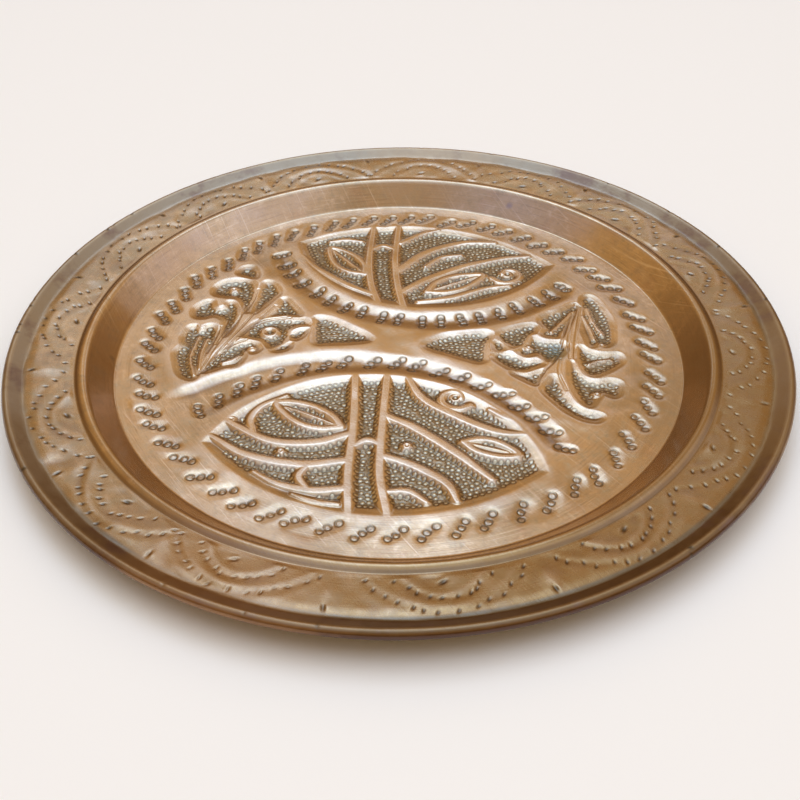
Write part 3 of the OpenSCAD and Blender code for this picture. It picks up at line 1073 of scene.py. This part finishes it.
    # The punched ground
    recessed, groove, pearls = (g.add("Attribute", attribute_name=name).outputs["Fac"]
                                for name in ("recess", "groove", "pearl"))
    patina = g.times(recessed, g.span(mottle, 0.35, 0.65, 0.5, 0.9))
    colour = g.mix(patina, colour, (0.30, 0.205, 0.105, 1))
    colour = g.mix(g.times(groove, 0.88), colour, (0.07, 0.052, 0.03, 1))
    colour = g.mix(g.times(pearls, 0.75), colour, (0.64, 0.49, 0.29, 1))
    for px, py, size, tint, strength in STAINS_AND_PATCHES:
        away = g.add("VectorMath", {0: place, 1: (px * MM, py * MM, 0.006)}, operation="DISTANCE")
        ragged = g.math("ADD", away.outputs["Value"],
                        g.span(blotch, 0.0, 1.0, -0.6 * size * MM, 0.6 * size * MM))
        spot = g.span(ragged, size * MM, 0.4 * size * MM, 0.0, strength)
        colour = g.mix(spot, colour, tint)
    g.feed(bsdf.inputs["Base Color"], colour)

    dull = g.times(front_shade, 1.1, clamp=True)
    for field in (patina, groove, edge, foot, lip_shade):
        dull = g.math("MAXIMUM", dull, field)
    g.feed(bsdf.inputs["Coat Weight"], g.math("SUBTRACT", 0.6, g.times(dull, 0.52)))
    rough = g.math("ADD", g.span(mottle, 0.35, 0.65, 0.12, 0.26), g.times(flange, 0.08))
    rough = g.math("ADD", rough, g.times(g.math("MAXIMUM", patina, edge), 0.12))
    g.feed(bsdf.inputs["Roughness"], rough)

    normal = None
    for strength, distance, field in ((0.6, 0.08, brushed), (0.45, 0.06, rubs), (0.22, 0.12, mottle),
                                      (0.15, 0.06, fine)):
        bump = g.add("Bump", {"Strength": strength, "Distance": distance * MM, "Height": field})
        if normal:
            g.feed(bump.inputs["Normal"], normal)
        normal = bump.outputs["Normal"]
    g.feed(bsdf.inputs["Normal"], normal)
    return material


def iron():
    material, bsdf = shader("iron_wire", {"Metallic": 1.0, "Roughness": 0.5})
    g = Graph(material)
    rust = g.noise(g.add("TexCoord").outputs["Object"], 400.0)
    g.feed(bsdf.inputs["Base Color"], g.mix(rust, (0.13, 0.10, 0.08, 1), (0.30, 0.27, 0.25, 1)))
    return material


# ---- stage, lights, camera
def linked(name, data):
    """A new object, put in the scene."""
    made = bpy.data.objects.new(name, data)
    bpy.context.collection.objects.link(made)
    return made


def stage():
    reach, low = 12.0, -0.2 * MM
    mesh = bpy.data.meshes.new("floor")
    corners = [(x * reach, y * reach, low) for x, y in ((-1, -1), (1, -1), (1, 1), (-1, 1))]
    mesh.from_pydata(corners, [], [(0, 1, 2, 3)])
    mesh.materials.append(shader("pale_floor", {"Base Color": (0.95, 0.91, 0.84, 1), "Roughness": 0.7})[0])
    floor = linked("floor", mesh)

    # A far wall in the floor's own tone, so that low views don't show the dark horizon
    count, wall_r, wall_h = 96, 11.5, 9.0
    turn = np.linspace(0, 2 * math.pi, count, endpoint=False)
    corners = [(wall_r * math.cos(a), wall_r * math.sin(a), z) for z in (low, wall_h) for a in turn]
    faces = [(k, (k + 1) % count, count + (k + 1) % count, count + k) for k in range(count)]
    mesh = bpy.data.meshes.new("backdrop")
    mesh.from_pydata(corners, [], faces)
    tone = {"Base Color": (0, 0, 0, 1), "Specular IOR Level": 0.0,
            "Emission Color": (0.68, 0.65, 0.65, 1), "Emission Strength": 1.0}
    mesh.materials.append(shader("backdrop", tone)[0])
    wall = linked("backdrop", mesh)
    wall.visible_diffuse = False
    wall.visible_glossy = False
    wall.visible_transmission = False
    wall.visible_shadow = False


# Soft glows of the sky round the tray: azimuth from +Y towards +X and elevation, inner and outer
# radius, all in degrees, then colour
GLOWS = [
    ((0, 66), 10, 20, (0.68, 1.16, 1.90)),
    ((0, 90), 12, 30, (0.34, 0.62, 1.05)),
    ((-9, 54), 9, 15, (0.50, 0.80, 1.30)),
    ((76, 40), 12, 30, (0.22, 0.36, 0.62)),
    ((14, 31), 3, 9, (0.22, 0.38, 0.62)),
    ((-14, 31), 3, 10, (0.25, 0.40, 0.60)),
    ((114, 55), 10, 28, (0.26, 0.38, 0.60)),
    ((-118, 55), 8, 26, (0.00, 0.12, 0.42)),
]


def lights():
    light = bpy.data.lights.new("fill", "AREA")
    light.size = 2.0
    light.energy = 10.0
    light.color = (1.0, 0.90, 0.76)
    fill = linked("fill", light)
    fill.location.z = 1.6
    fill.visible_glossy = False
    world = bpy.data.worlds.new("studio")
    world.use_nodes = True
    g = Graph(world)
    towards = g.add("TexCoord").outputs["Generated"]
    up = g.add("SeparateXYZ", {0: towards}).outputs[2]
    ramp = g.add("ValToRGB", {"Fac": up})
    stops = ramp.color_ramp.elements
    stops[0].position = 0.0
    stops[0].color = (0.20, 0.11, 0.04, 1)
    stops[1].position = 0.80
    stops[1].color = (0.58, 0.50, 0.40, 1)
    for position, colour in ((0.26, (0.33, 0.20, 0.09, 1)), (0.60, (0.66, 0.48, 0.24, 1))):
        stops.new(position).color = colour
    sky = ramp.outputs["Color"]
    for (azimuth, elevation), inner, outer, colour in GLOWS:
        flat = math.cos(math.radians(elevation))
        aim = (flat * math.sin(math.radians(azimuth)), flat * math.cos(math.radians(azimuth)),
               math.sin(math.radians(elevation)))
        near = g.add("VectorMath", {0: towards, 1: aim}, operation="DOT_PRODUCT").outputs["Value"]
        glow = g.add("MapRange", {"Value": near, "From Min": math.cos(math.radians(outer)),
                                  "From Max": math.cos(math.radians(inner))}, interpolation_type="SMOOTHSTEP")
        sky = g.mix(glow.outputs[0], sky, g.mix(1.0, sky, (*colour, 1), "ADD"))
    g.feed(world.node_tree.nodes["Background"].inputs["Color"], sky)
    bpy.context.scene.world = world
    bpy.context.scene.view_settings.view_transform = "Standard"


# The camera: elevation, distance in tray radii, then turns of the view in degrees
CAMERA = dict(elevation=36.3244, distance=2.9031, yaw=0.0537, pitch=3.6324, roll=-0.7176)


def camera():
    e, yaw, pitch, roll = (math.radians(CAMERA[k]) for k in ("elevation", "yaw", "pitch", "roll"))
    reach = CAMERA["distance"] * TRAY_R
    stand = np.array([0, -reach * math.cos(e), reach * math.sin(e)])
    ahead = unit(-stand)
    right = np.array([1.0, 0, 0])
    up = np.cross(right, ahead)
    down_ahead = ahead * math.cos(pitch) - up * math.sin(pitch)
    up = up * math.cos(pitch) + ahead * math.sin(pitch)
    ahead = down_ahead * math.cos(yaw) + right * math.sin(yaw)
    right = right * math.cos(yaw) - down_ahead * math.sin(yaw)
    rolled_right = right * math.cos(roll) + up * math.sin(roll)
    rolled_up = up * math.cos(roll) - right * math.sin(roll)
    cam = bpy.data.cameras.new("camera")
    cam.lens = 50.0
    cam.sensor_width = 36.0
    view = linked("camera", cam)
    turn = Matrix([[rolled_right[k], rolled_up[k], -ahead[k]] for k in range(3)])
    view.matrix_world = Matrix.Translation(Vector((stand + [0, 0, WIRE_Z]) * MM)) @ turn.to_4x4()
    bpy.context.scene.camera = view


camera()
stage()
lights()
tray = linked("tray", tray_mesh())
tray.data.materials.append(copper())
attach(tray, "root")
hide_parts("tray_sheet")
for slot in frame["nodes"]["rim_wire"].material_slots:
    slot.material = iron()
